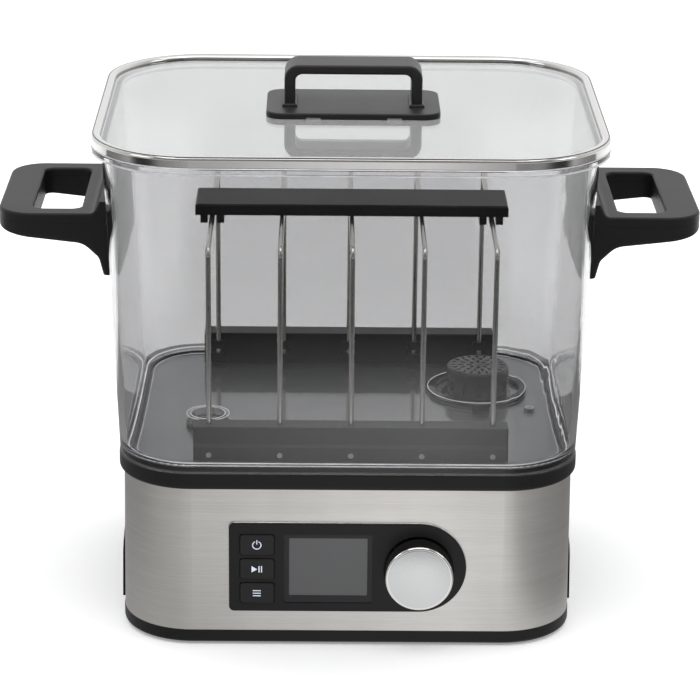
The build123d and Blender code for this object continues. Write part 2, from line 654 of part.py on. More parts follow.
def lid_handle():
    """Bow grip with two flat legs that widen where they meet the plate."""
    bottom = GLASS_TOP + LID_PLATE_THICKNESS
    height = LID_HANDLE_TOP - bottom
    outer = Pos(LID_HANDLE_X, bottom + height / 2) * Rectangle(2 * LID_HANDLE_HALF_WIDTH, height)
    outer = fillet(outer.vertices().group_by(Axis.Y)[-1], 8.0)
    inner = Pos(LID_HANDLE_X, bottom + (height - 5.2) / 2) * Rectangle(2 * (LID_HANDLE_HALF_WIDTH - 6.0), height - 5.2)
    inner = fillet(inner.vertices().group_by(Axis.Y)[-1], 4.0)
    bow = front_plate(outer - inner, -LID_HANDLE_DEPTH / 2, LID_HANDLE_DEPTH / 2)
    sides = bow.edges().group_by(Axis.Y)
    bow = fillet([e for e in sides[0] + sides[-1] if e.center().Z > bottom + 1], 1.4)
    for x in LID_SCREW_PLACES:
        foot = block(x - 4.2, x + 4.2, -13.2, 13.2, bottom, bottom + 1.6)
        bow += fillet(foot.edges().group_by(Axis.Z)[-1], 1.2)
        bow -= disc(x, 0, bottom - 1, bottom + 9, 1.6)
    return bow


def lid_screws():
    """Two screws from below with their washers' heads under the glass."""
    screws = []
    for x in LID_SCREW_PLACES:
        head = disc(x, 0, GLASS_UNDERSIDE - 3.6, GLASS_UNDERSIDE - 1.0, 4.2)
        screws.append(head + disc(x, 0, GLASS_UNDERSIDE - 1.1, GLASS_TOP + 10, 1.6))
    return Compound(children=screws)


def lid_washers():
    washers = []
    for x in LID_SCREW_PLACES:
        ring = disc(x, 0, GLASS_UNDERSIDE - 1.0, GLASS_UNDERSIDE, 6.0)
        ring += disc(x, 0, GLASS_UNDERSIDE - 0.5, GLASS_TOP, 3.1)
        washers.append(ring - disc(x, 0, GLASS_UNDERSIDE - 2, GLASS_TOP + 1, 1.65))
    return Compound(children=washers)


# ---------------------------------------------------------------- bag rack
WIRE_PLACES = [RACK_X + WIRE_PITCH * step for step in range(-(WIRE_COUNT // 2), WIRE_COUNT // 2 + 1)]
RAIL_LEFT = RACK_X - RAIL_HALF_LENGTH
RAIL_RIGHT = RACK_X + RAIL_HALF_LENGTH
FRONT_WIRE_FOOT = 109.0
REAR_WIRE_FOOT = 106.0


def rail(points, soft):
    """A straight rail with the given section in Y and Z."""
    face = make_face(Polyline(*points, close=True))
    chosen = [v for v in face.vertices() if any(abs(v.X - y) + abs(v.Y - z) < 0.01 for y, z in soft)]
    face = fillet(chosen, 0.8)
    return extrude(Plane.YZ.offset(RAIL_LEFT) * face, amount=RAIL_RIGHT - RAIL_LEFT)


def wire_cutters():
    """The wires' legs, as tools for their holes."""
    legs = []
    for x in WIRE_PLACES:
        legs.append(disc(x, FRONT_WIRE_Y, FRONT_WIRE_FOOT, WIRE_TOP, WIRE_RADIUS))
        legs.append(disc(x, REAR_WIRE_Y, REAR_WIRE_FOOT, WIRE_TOP, WIRE_RADIUS))
    return legs


def front_rail():
    """Front foot rail with a sloped step and holes for the wires."""
    step = 113.0
    ledge = 111.5
    inset = FRONT_RAIL_FACE + 2.0
    points = [
        (FRONT_RAIL_FACE, RAIL_BOTTOM),
        (FRONT_RAIL_FACE, ledge),
        (inset, step),
        (inset, RAIL_TOP),
        (FRONT_RAIL_BACK, RAIL_TOP),
        (FRONT_RAIL_BACK, RAIL_BOTTOM),
    ]
    bar = rail(points, [(inset, RAIL_TOP), (FRONT_RAIL_BACK, RAIL_TOP), (FRONT_RAIL_FACE, RAIL_BOTTOM)])
    for leg in wire_cutters():
        bar -= leg
    for x in WIRE_PLACES:
        bar -= facing_disc(x, 107.0, FRONT_RAIL_FACE - 1, FRONT_RAIL_FACE + 1.4, 1.5)
    return bar


def rear_rail():
    """Rear foot rail with a clip block round each wire."""
    points = [
        (REAR_RAIL_FACE, RAIL_BOTTOM),
        (REAR_RAIL_FACE, RAIL_TOP),
        (REAR_RAIL_BACK, RAIL_TOP),
        (REAR_RAIL_BACK, RAIL_BOTTOM),
    ]
    bar = rail(points, [(REAR_RAIL_FACE, RAIL_TOP), (REAR_RAIL_BACK, RAIL_TOP)])
    for x in WIRE_PLACES:
        for z in (RAIL_BOTTOM + 2.6, RAIL_BOTTOM + 10.2):
            bar += block(x - 4.2, x + 4.2, REAR_WIRE_Y - 2.4, REAR_RAIL_FACE + 1, z, z + 4.6)
    for leg in wire_cutters():
        bar -= leg
    return bar


def rail_rivets():
    rivets = []
    for x in WIRE_PLACES:
        rivets.append(facing_disc(x, 107.0, FRONT_RAIL_FACE - 0.3, FRONT_RAIL_FACE + 1.4, 1.5))
    return Compound(children=rivets)


def top_bar():
    """Bar across the tops of the wires: shallow grooves for all, and clip teeth at both ends."""
    left = RACK_X - BAR_HALF_LENGTH
    bar = block(left, left + 2 * BAR_HALF_LENGTH, BAR_FRONT, BAR_BACK, BAR_BOTTOM, BAR_TOP)
    bar = fillet(bar.edges().group_by(Axis.Z)[-1], 1.5)
    for x in (WIRE_PLACES[0], WIRE_PLACES[-1]):
        for shift in (-4.6, 4.6):
            bar += block(x + shift - 2.0, x + shift + 2.0, BAR_FRONT, BAR_BACK, CLIP_BOTTOM, BAR_BOTTOM + 1)
    for x in WIRE_PLACES:
        run = Pos(x, (BAR_FRONT + BAR_BACK) / 2, WIRE_TOP) * Rot(90, 0, 0)
        bar -= run * Cylinder(WIRE_RADIUS, BAR_BACK - BAR_FRONT + 4)
    return bar


def wire_divider(x):
    """One bent wire: up from the front rail, across, and down to the rear rail."""
    points = [
        (x, FRONT_WIRE_Y, FRONT_WIRE_FOOT),
        (x, FRONT_WIRE_Y, WIRE_TOP),
        (x, REAR_WIRE_Y, WIRE_TOP),
        (x, REAR_WIRE_Y, REAR_WIRE_FOOT),
    ]
    path = FilletPolyline(*points, radius=4.0)
    return sweep(Plane(origin=points[0], z_dir=(0, 0, 1)) * Circle(WIRE_RADIUS), path=path)


# ---------------------------------------------------------------- write every piece
def main():
    base = {
        "base_tray": base_tray(),
        "rubber_feet": rubber_feet(),
        "steel_shell": steel_shell(),
        "rear_cover": rear_cover(),
        "power_inlet": power_inlet(),
        "collar_ring": collar_ring(),
        "deck_plate": deck_plate(),
        "control_panel": control_panel(),
        "display_window": display_window(),
        "display_module": display_module(),
        "control_board": control_board(),
        "button_switches": button_switches(),
        "knob_encoder": knob_encoder(),
        "power_board": power_board(),
    }
    water = {
        "pump_housing": pump_housing(),
        "pump_motor": pump_motor(),
        "motor_bracket": motor_bracket(),
        "impeller": impeller(),
        "flow_heater": flow_heater(),
        "feed_hose": feed_hose(),
        "return_hose": return_hose(),
        "temperature_sensor": temperature_sensor(),
        "sensor_grommet": sensor_grommet(),
        "strainer": strainer(),
    }
    pockets = screw_clearance()
    upper = handle_upper() - pockets
    lower = handle_lower() - pockets
    tank = {
        "tank_shell": tank_shell(),
        "sump_ring": sump_ring(),
        "outlet_nozzle": outlet_nozzle(),
        "left_handle_upper": upper,
        "left_handle_lower": lower,
        "left_handle_screws": handle_screws(1),
        "right_handle_upper": mirror(upper, about=Plane.YZ),
        "right_handle_lower": mirror(lower, about=Plane.YZ),
        "right_handle_screws": handle_screws(-1),
    }
    lid = {
        "lid_rim": lid_rim(),
        "lid_glass": lid_glass(),
        "lid_plate": lid_plate(),
        "lid_handle": lid_handle(),
        "lid_screws": lid_screws(),
        "lid_washers": lid_washers(),
    }
    rack = {
        "front_rail": front_rail(),
        "rear_rail": rear_rail(),
        "rail_rivets": rail_rivets(),
        "top_bar": top_bar(),
    }
    controls = {name: push_button(name) for name in BUTTON_CENTRES_Z}
    controls["knob_body"] = knob_body()
    controls["knob_cap"] = knob_cap()
    for number, x in enumerate(WIRE_PLACES, start=1):
        rack[f"wire_divider_{number}"] = wire_divider(x)
    for group in (base, water, tank, lid, rack, controls):
        for name, shape in group.items():
            save(name, shape)


main()
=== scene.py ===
"""Looks of a countertop water-bath cooker, as an add-on with one operator for each group of pieces."""

import math

import bmesh
import bpy
from bpy.props import FloatProperty, FloatVectorProperty, PointerProperty
from mathutils import Matrix, Vector


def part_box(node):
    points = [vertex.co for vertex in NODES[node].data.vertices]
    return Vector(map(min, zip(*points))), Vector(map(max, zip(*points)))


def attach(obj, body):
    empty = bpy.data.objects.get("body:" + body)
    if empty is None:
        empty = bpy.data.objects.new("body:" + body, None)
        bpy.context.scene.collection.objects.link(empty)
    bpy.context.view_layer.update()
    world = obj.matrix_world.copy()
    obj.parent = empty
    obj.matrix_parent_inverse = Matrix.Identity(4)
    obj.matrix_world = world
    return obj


bl_info = {
    "name": "Water Bath Cooker Looks",
    "version": (1, 0, 0),
    "blender": (4, 5, 0),
    "location": "View3D > Sidebar > Cooker",
    "description": "Finishes and fine details of a countertop water-bath cooker",
    "category": "Object",
}

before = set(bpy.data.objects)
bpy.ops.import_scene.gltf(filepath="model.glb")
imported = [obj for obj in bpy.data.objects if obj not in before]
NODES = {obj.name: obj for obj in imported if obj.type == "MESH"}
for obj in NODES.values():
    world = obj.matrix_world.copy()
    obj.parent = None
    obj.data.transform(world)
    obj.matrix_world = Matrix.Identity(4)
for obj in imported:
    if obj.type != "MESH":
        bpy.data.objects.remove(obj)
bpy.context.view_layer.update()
MM = 0.001
PLASTIC_GLOSS = 0.22
FOOT_CORNER = 41.2 * MM
RIM_CORNER = 54.0 * MM
# Half width, half depth and corner radius of the line moulded into the tank's floor, which is drawn as a
# glowing bead: a painted highlight.
FLOOR_LINE = (117.0 * MM, 93.5 * MM, 31.5 * MM)
# Gap between the rack's rail and the floor it stands on.
RAIL_GAP = 0.3 * MM
# Frame round the display: left, right, top and bottom.
BEZEL_MARGIN = (2.6 * MM, 2.6 * MM, 2.2 * MM, 4.2 * MM)
# How bright the reflection card is: across the width from its middle, and away from the cooker.
CARD_ACROSS = (
    (-0.80, 0.50), (-0.42, 0.56), (-0.19, 0.71), (-0.11, 0.80), (-0.03, 1.25), (0.06, 1.50), (0.11, 1.15),
    (0.17, 0.56), (0.36, 0.46), (0.80, 0.60),
)
CARD_ALONG = (
    (0.0, 0.44), (0.38, 0.60), (0.45, 0.66), (0.67, 0.98), (0.76, 0.45), (0.84, 0.06),
    (1.12, 0.06), (1.26, 0.75), (2.4, 0.60),
)
# Brightness of the floor behind the tank in the middle and at the sides, and where the change lies.
BACKDROP_MIDDLE, BACKDROP_SIDE = 0.78, 2.0
BACKDROP_ACROSS = (0.098, 0.155)
BACKDROP_ALONG = ((0.35, 0.60), (0.98, 1.15))
# The world brightens between these two values of its depth direction.
WORLD_SPREAD = (-0.7, 0.6)
WORLD_COLOUR = (0.985, 0.99, 1.0, 1.0)
FLOOR_SIZE = 28.0
CARD_LIFT = 1.5 * MM


# ---------------------------------------------------------------- shader writing
class Wire:
    """One output of a finish's node tree. Arithmetic on it adds Math nodes."""

    def __init__(self, finish, socket):
        self.finish = finish
        self.socket = socket

    def maths(self, operation, *values):
        inputs = dict(enumerate(values))
        return self.finish.node("ShaderNodeMath", {"operation": operation}, inputs)

    def __add__(self, other):
        return self.maths("ADD", self, other)

    def __radd__(self, other):
        return self.maths("ADD", other, self)

    def __sub__(self, other):
        return self.maths("SUBTRACT", self, other)

    def __rsub__(self, other):
        return self.maths("SUBTRACT", other, self)

    def __mul__(self, other):
        return self.maths("MULTIPLY", self, other)

    def __rmul__(self, other):
        return self.maths("MULTIPLY", other, self)

    def __truediv__(self, other):
        return self.maths("DIVIDE", self, other)

    def __rtruediv__(self, other):
        return self.maths("DIVIDE", other, self)


class Finish:
    """A procedural material, or the world, and the short ways to fill its node tree."""

    def __init__(self, name, owner=None):
        self.material = owner or bpy.data.materials.new(name)
        self.material.use_nodes = True
        self.tree = self.material.node_tree
        self.tree.nodes.clear()
        self.place = self.node("ShaderNodeTexCoord", output="Object")

    def node(self, kind, settings=None, inputs=None, output=0):
        made = self.tree.nodes.new(kind)
        for key, value in (settings or {}).items():
            if key == "stops":
                self.fill_ramp(made.color_ramp, value)
            else:
                setattr(made, key, value)
        for key, value in (inputs or {}).items():
            if isinstance(value, Wire):
                self.tree.links.new(value.socket, made.inputs[key])
            else:
                made.inputs[key].default_value = value
        return Wire(self, made.outputs[output]) if made.outputs else None

    @staticmethod
    def fill_ramp(ramp, stops):
        while len(ramp.elements) < len(stops):
            ramp.elements.new(0.5)
        for element, (position, colour) in zip(ramp.elements, stops):
            element.position = position
            element.color = (*colour, 1.0)

    def stretched(self, scale):
        """Object coordinates scaled by a different amount along each axis."""
        return self.node("ShaderNodeVectorMath", {"operation": "MULTIPLY"}, {0: self.place, 1: scale})

    def noise(self, scale, detail=2.0, roughness=0.5, vector=None):
        inputs = {"Vector": vector or self.place, "Scale": scale, "Detail": detail, "Roughness": roughness}
        return self.node("ShaderNodeTexNoise", {}, inputs)

    def between(self, value, low, high):
        """Spread a value from 0..1 to low..high."""
        return value * (high - low) + low

    def step(self, value, start, end):
        """A smooth rise from 0 to 1 between two values."""
        inputs = {"Value": value, "From Min": start, "From Max": end, "To Min": 0.0, "To Max": 1.0}
        return self.node("ShaderNodeMapRange", {"interpolation_type": "SMOOTHSTEP"}, inputs)

    def mix_colours(self, factor, first, second):
        settings = {"data_type": "RGBA"}
        inputs = {0: factor, 6: first, 7: second}
        return self.node("ShaderNodeMix", settings, inputs, output=2)

    def bump(self, height, strength, distance):
        return self.node("ShaderNodeBump", {}, {"Height": height, "Strength": strength, "Distance": distance})

    def surface(self, **sockets):
        """The Principled shader, with underscores in socket names read as spaces."""
        inputs = {key.replace("_", " "): value for key, value in sockets.items()}
        return self.node("ShaderNodeBsdfPrincipled", {}, inputs)

    def done(self, shader):
        self.node("ShaderNodeOutputMaterial", {}, {"Surface": shader})
        return self.material


def rgba(colour):
    return (*colour, 1.0)


# ---------------------------------------------------------------- finishes
def moulded_plastic(name, colour, roughness=0.42, grain=1400.0, depth=0.25, gloss=PLASTIC_GLOSS):
    """Moulded plastic with a fine spark-eroded grain and faint handling marks."""
    finish = Finish(name)
    fine = finish.noise(grain, 3.0, 0.6)
    cloud = finish.noise(18.0, 4.0, 0.55)
    lighter = [min(1.0, part * 1.3 + 0.001) for part in colour]
    tint = finish.mix_colours(cloud, rgba(colour), rgba(lighter))
    shine = finish.between(cloud, roughness - 0.05, roughness + 0.07) + (fine - 0.5) * 0.10
    relief = finish.bump(fine, depth, 0.00012)
    shader = finish.surface(Base_Color=tint, Roughness=shine, Normal=relief, Specular_IOR_Level=gloss)
    return finish.done(shader)


def brushed_steel(name, colour, roughness, line=2600.0, contrast=0.21, metal=1.0):
    """Brushed steel: long fine lines that run level round the piece, and soft upright stripes of painted
    reflection.
    """
    finish = Finish(name)
    lines = finish.noise(1.0, 5.0, 0.72, finish.stretched((9.0, 9.0, line)))
    broad = finish.noise(1.0, 3.0, 0.5, finish.stretched((3.0, 3.0, line * 0.08)))
    short = finish.noise(1.0, 4.0, 0.7, finish.stretched((70.0, 70.0, line * 0.5)))
    # Painted reflection: soft upright stripes of lighter and darker tone, standing in for upright reflections
    # on brushed steel.
    painted_reflection_bands = finish.noise(1.0, 2.0, 0.5, finish.stretched((24.0, 24.0, 3.0)))
    dust = finish.noise(60.0, 3.0, 0.5)
    dark = [part * (1.0 - contrast) for part in colour]
    lighter = [min(1.0, part * (1.0 + contrast)) for part in colour]
    # The tint mixes the real brushing grain with the painted reflection stripes.
    grain_and_painted_reflection = lines * 0.45 + broad * 0.15 + short * 0.2 + painted_reflection_bands * 0.2
    tint = finish.mix_colours((grain_and_painted_reflection - 0.5) * 2.6 + 0.5, rgba(dark), rgba(lighter))
    shine = finish.between(lines, roughness - 0.06, roughness + 0.10) + (dust - 0.5) * 0.05
    relief = finish.bump(lines * 0.7 + short * 0.3, 0.22, 0.00008)
    shader = finish.surface(
        Base_Color=tint,
        Metallic=metal,
        Roughness=shine,
        Normal=relief,
        Anisotropic=0.55,
        Anisotropic_Rotation=0.0,
    )
    return finish.done(shader)


def polished_metal(name, colour, roughness, depth=0.05):
    """Bright metal with faint polishing swirls."""
    finish = Finish(name)
    swirl = finish.noise(220.0, 5.0, 0.6)
    film = finish.noise(14.0, 3.0, 0.5)
    dark = [part * 0.9 for part in colour]
    tint = finish.mix_colours(film, rgba(dark), rgba(colour))
    shine = finish.between(swirl, roughness * 0.7, roughness * 1.4)
    relief = finish.bump(swirl, depth, 0.00003)
    return finish.done(finish.surface(Base_Color=tint, Metallic=1.0, Roughness=shine, Normal=relief))


def clear_material(name, colour, roughness, ior, gloss):
    """Clear moulding or glass: refracts for the eye and lets lamp light straight through."""
    finish = Finish(name)
    haze = finish.noise(30.0, 4.0, 0.55)
    shine = finish.between(haze, roughness * 0.4, roughness * 1.6)
    body = finish.surface(
        Base_Color=rgba(colour), Roughness=shine, Transmission_Weight=1.0, IOR=ior, Specular_IOR_Level=gloss
    )
    passing = finish.node("ShaderNodeBsdfTransparent", {}, {"Color": rgba([part ** 0.5 for part in colour])})
    shadow = finish.node("ShaderNodeLightPath", output="Is Shadow Ray")
    return finish.done(finish.node("ShaderNodeMixShader", {}, {0: shadow, 1: body, 2: passing}))


def painted_highlight(name, colour, glow):
    """A glowing bead along an edge of a clear piece: a painted highlight, since the bead is no lamp."""
    finish = Finish(name)
    streaks = finish.noise(90.0, 3.0, 0.6)
    tint = finish.mix_colours(streaks, rgba([part * 0.35 for part in colour]), rgba(colour))
    finish.material.cycles.emission_sampling = "NONE"
    # The emission paints the highlight on the edge.
    shader = finish.surface(
        Base_Color=tint, Metallic=0.6, Roughness=0.22, Emission_Color=tint, Emission_Strength=glow
    )
    return finish.done(shader)


def soft_rubber(name, colour):
    """Matt rubber or silicone with a fine grain."""
    finish = Finish(name)
    fine = finish.noise(900.0, 3.0, 0.6)
    shine = finish.between(fine, 0.62, 0.82)
    relief = finish.bump(fine, 0.3, 0.0001)
    return finish.done(finish.surface(Base_Color=rgba(colour), Roughness=shine, Normal=relief))


def dial_face(name, colour, centre):
    """Satin metal turned on a lathe: fine rings round the middle of the dial."""
    finish = Finish(name)
    flat = finish.stretched((1, 0, 1))
    away = finish.node("ShaderNodeVectorMath", {"operation": "DISTANCE"}, {0: flat, 1: centre}, output=1)
    rings = finish.node("ShaderNodeTexNoise", {"noise_dimensions": "1D"}, {"W": away * 3800.0, "Scale": 1.0})
    tint = finish.mix_colours(rings, rgba([part * 0.86 for part in colour]), rgba(colour))
    shine = finish.between(rings, 0.24, 0.34)
    relief = finish.bump(rings, 0.08, 0.00003)
    return finish.done(finish.surface(Base_Color=tint, Metallic=1.0, Roughness=shine, Normal=relief))


def screen_finish(name, colour):
    """Unlit grey display under a clear window."""
    finish = Finish(name)
    dots = finish.noise(2200.0, 1.0, 0.5)
    veil = finish.noise(22.0, 2.0, 0.5)
    tint = finish.mix_colours(dots * 0.25 + veil * 0.4, rgba(colour), rgba([part * 1.25 for part in colour]))
    shader = finish.surface(Base_Color=tint, Roughness=0.32, Coat_Weight=0.6, Coat_Roughness=0.08)
    return finish.done(shader)


def printed_ink_with_glow(name, colour):
    """Pale ink printed on the keys, with a faint painted glow added to its own colour."""
    finish = Finish(name)
    speck = finish.noise(1600.0, 2.0, 0.5)
    tint = finish.mix_colours(speck, rgba(colour), rgba([part * 0.86 for part in colour]))
    # The emission is a painted glow on the ink, which gives no light of its own.
    shader = finish.surface(Base_Color=tint, Roughness=0.5, Emission_Color=tint, Emission_Strength=0.25)
    return finish.done(shader)


def circuit_board_finish(name):
    """Green board with small pale pads."""
    finish = Finish(name)
    cells = finish.node("ShaderNodeTexVoronoi", {}, {"Vector": finish.place, "Scale": 320.0})
    tint = finish.mix_colours(cells * 6.0, (0.55, 0.42, 0.14, 1.0), (0.02, 0.16, 0.06, 1.0))
    return finish.done(finish.surface(Base_Color=tint, Roughness=0.35))


# ---------------------------------------------------------------- settings
class CookerStage(bpy.types.PropertyGroup):
    """Camera, lamps and floor."""

    lens: FloatProperty(name="Lens", description="Focal length in millimetres", default=151.8, min=20.0)
    camera_x: FloatProperty(
        name="Camera side",
        description="Camera's place to the right of the middle",
        default=-0.01616,
        unit="LENGTH",
    )
    camera_y: FloatProperty(
        name="Camera distance",
        description="Camera's place along the depth",
        default=-1.59654,
        unit="LENGTH",
    )
    camera_z: FloatProperty(
        name="Camera height",
        description="Height of the camera",
        default=0.69044,
        unit="LENGTH",
    )
    pitch: FloatProperty(
        name="Pitch",
        description="How far the camera looks down",
        default=math.radians(19.081),
        subtype="ANGLE",
    )
    yaw: FloatProperty(
        name="Yaw",
        description="How far the camera looks to the right",
        default=math.radians(0.624),
        subtype="ANGLE",
    )
    roll: FloatProperty(
        name="Roll", description="How far the camera leans", default=math.radians(0.612), subtype="ANGLE"
    )
    floor_colour: FloatVectorProperty(
        name="Floor", description="Colour of the floor", default=(0.90, 0.90, 0.90), subtype="COLOR"
    )
    floor_glow: FloatProperty(
        name="Floor glow",
        description="Light given off by the lightbox floor",
        default=0.30,
    )
    back_light: FloatProperty(name="Back light", description="Surroundings behind the cooker", default=1.15)
    front_light: FloatProperty(
        name="Front light",
        description="Surroundings in front of the cooker",
        default=0.30,
    )
    top_lamp: FloatProperty(
        name="Top lamp",
        description="Power of the lamp overhead",
        default=16.0,
        unit="POWER",
    )
    side_lamp: FloatProperty(
        name="Side lamps",
        description="Power of each side lamp",
        default=4.0,
        unit="POWER",
    )
    card_front: FloatProperty(
        name="Card start",
        description="Where the reflection card ends behind the cooker",
        default=0.30,
        unit="LENGTH",
    )
    card_width: FloatProperty(
        name="Card width",
        description="Width of the card",
        default=3.2,
        unit="LENGTH",
    )
    card_depth: FloatProperty(
        name="Card depth",
        description="Depth of the card",
        default=2.8,
        unit="LENGTH",
    )


class CookerColours(bpy.types.PropertyGroup):
    """Colours of the finishes."""

    plastic: FloatVectorProperty(
        name="Black plastic",
        description="Handles, collar and trims",
        default=(0.0065, 0.0062, 0.006),
        subtype="COLOR",
    )
    panel: FloatVectorProperty(
        name="Control panel",
        description="Fascia of the panel",
        default=(0.0075, 0.0072, 0.007),
        subtype="COLOR",
    )
    keys: FloatVectorProperty(
        name="Keys",
        description="Panel keys",
        default=(0.012, 0.012, 0.0125),
        subtype="COLOR",
    )
    steel: FloatVectorProperty(
        name="Brushed steel", description="Base wrap", default=(0.60, 0.585, 0.56), subtype="COLOR"
    )
    deck: FloatVectorProperty(
        name="Tank floor",
        description="Plate under the clear floor",
        default=(0.52, 0.525, 0.53),
        subtype="COLOR",
    )
    bright: FloatVectorProperty(
        name="Polished steel",
        description="Lid rim and rack wires",
        default=(0.78, 0.77, 0.75),
        subtype="COLOR",
    )
    tank: FloatVectorProperty(
        name="Clear tank", description="Tint of the tank", default=(0.655, 0.655, 0.658), subtype="COLOR"
    )
    glass: FloatVectorProperty(
        name="Lid glass", description="Tint of the lid", default=(0.70, 0.705, 0.695), subtype="COLOR"
    )
    screen: FloatVectorProperty(
        name="Display", description="Unlit display", default=(0.058, 0.059, 0.062), subtype="COLOR"
    )
    ink: FloatVectorProperty(
        name="Key symbols",
        description="Printed symbols on the keys",
        default=(0.70, 0.77, 0.90),
        subtype="COLOR",
    )


# ---------------------------------------------------------------- helpers for pieces
def dress(material, *names):
    """Give CAD nodes a finish by filling all their material slots."""
    for name in names:
        slots = NODES[name].material_slots
        if not slots:
            NODES[name].data.materials.append(material)
        for slot in slots:
            slot.material = material


def centre_of(node):
    low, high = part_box(node)
    return (low + high) / 2


def colours():
    return bpy.context.scene.cooker_colours


def mesh_piece(name, fill, material, body):
    """A new piece from a bmesh-filling function, riding on a body."""
    mesh = bpy.data.meshes.new(name)
    work = bmesh.new()
    fill(work)
    bmesh.ops.recalc_face_normals(work, faces=work.faces)
    work.to_mesh(mesh)
    work.free()
    piece = bpy.data.objects.new(name, mesh)
    bpy.context.scene.collection.objects.link(piece)
    mesh.materials.append(material)
    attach(piece, body)
    return piece


def front_polygon(work, outline, front, back):
    """A flat plate facing the front: outline in x and z, from y=front to y=back."""
    near = [work.verts.new((x, front, z)) for x, z in outline]
    far = [work.verts.new((x, back, z)) for x, z in outline]
    work.faces.new(near)
    work.faces.new(far[::-1])
    count = len(outline)
    for index in range(count):
        after = (index + 1) % count
        work.faces.new((near[index], far[index], far[after], near[after]))


def arc_points(centre, radius, start, end, steps):
    """Points on a circle, with angles in degrees."""
    turns = [math.radians(start + (end - start) * step / steps) for step in range(steps + 1)]
    return [(centre[0] + radius * math.cos(turn), centre[1] + radius * math.sin(turn)) for turn in turns]


def rounded_outline(low, high, radius, steps=8):
    """A rectangle with four round corners, as points in order."""
    corners = (
        (high[0] - radius, low[1] + radius, -90),
        (high[0] - radius, high[1] - radius, 0),
        (low[0] + radius, high[1] - radius, 90),
        (low[0] + radius, low[1] + radius, 180),
    )
    points = []
    for x, z, start in corners:
        points += arc_points((x, z), radius, start, start + 90, steps)
    return points


def panel_outline(low, high, corner):
    """The fascia's outline: small corners on the left and a half round on the right."""
    radius = (high[1] - low[1]) / 2
    middle = (low[1] + high[1]) / 2
    points = arc_points((high[0] - radius, middle), radius, -90, 90, 32)
    points += arc_points((low[0] + corner, high[1] - corner), corner, 90, 180, 6)
    return points + arc_points((low[0] + corner, low[1] + corner), corner, 180, 270, 6)


def tube_along(name, points, radius, material, body):
    """A thin closed bead that follows points in space."""
    curve = bpy.data.curves.new(name, "CURVE")
    curve.dimensions = "3D"
    curve.bevel_depth = radius
    curve.bevel_resolution = 2
    spline = curve.splines.new("POLY")
    spline.points.add(len(points) - 1)
    for point, place in zip(spline.points, points):
        point.co = (*place, 1.0)
    spline.use_cyclic_u = True
    curve.materials.append(material)
    bead = bpy.data.objects.new(name, curve)
    bpy.context.scene.collection.objects.link(bead)
    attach(bead, body)
    return bead


def plan_bead(name, half_width, half_depth, corner, height, radius, material, body):
    """A bead that runs level round a rounded rectangle centred on the cooker."""
    outline = rounded_outline((-half_width, -half_depth), (half_width, half_depth), corner, steps=14)
    points = [(x, y, height) for x, y in outline]
    return tube_along(name, points, radius, material, body)


def round_bead(name, centre, ring_radius, height, radius, material, body):
    """A bead that runs level round a circle."""
    points = [(x, y, height) for x, y in arc_points(centre, ring_radius, 0, 354, 59)]
    return tube_along(name, points, radius, material, body)


def front_ring(work, outer, inner, front, back):
    """A frame between two outlines with the same number of points, facing the front."""
    loops = []
    for outline, y in ((outer, front), (inner, front), (inner, back), (outer, back)):
        loops.append([work.verts.new((x, y, z)) for x, z in outline])
    count = len(outer)
    for first, second in zip(loops, loops[1:] + loops[:1]):
        for index in range(count):
            after = (index + 1) % count
            work.faces.new((first[index], first[after], second[after], second[index]))


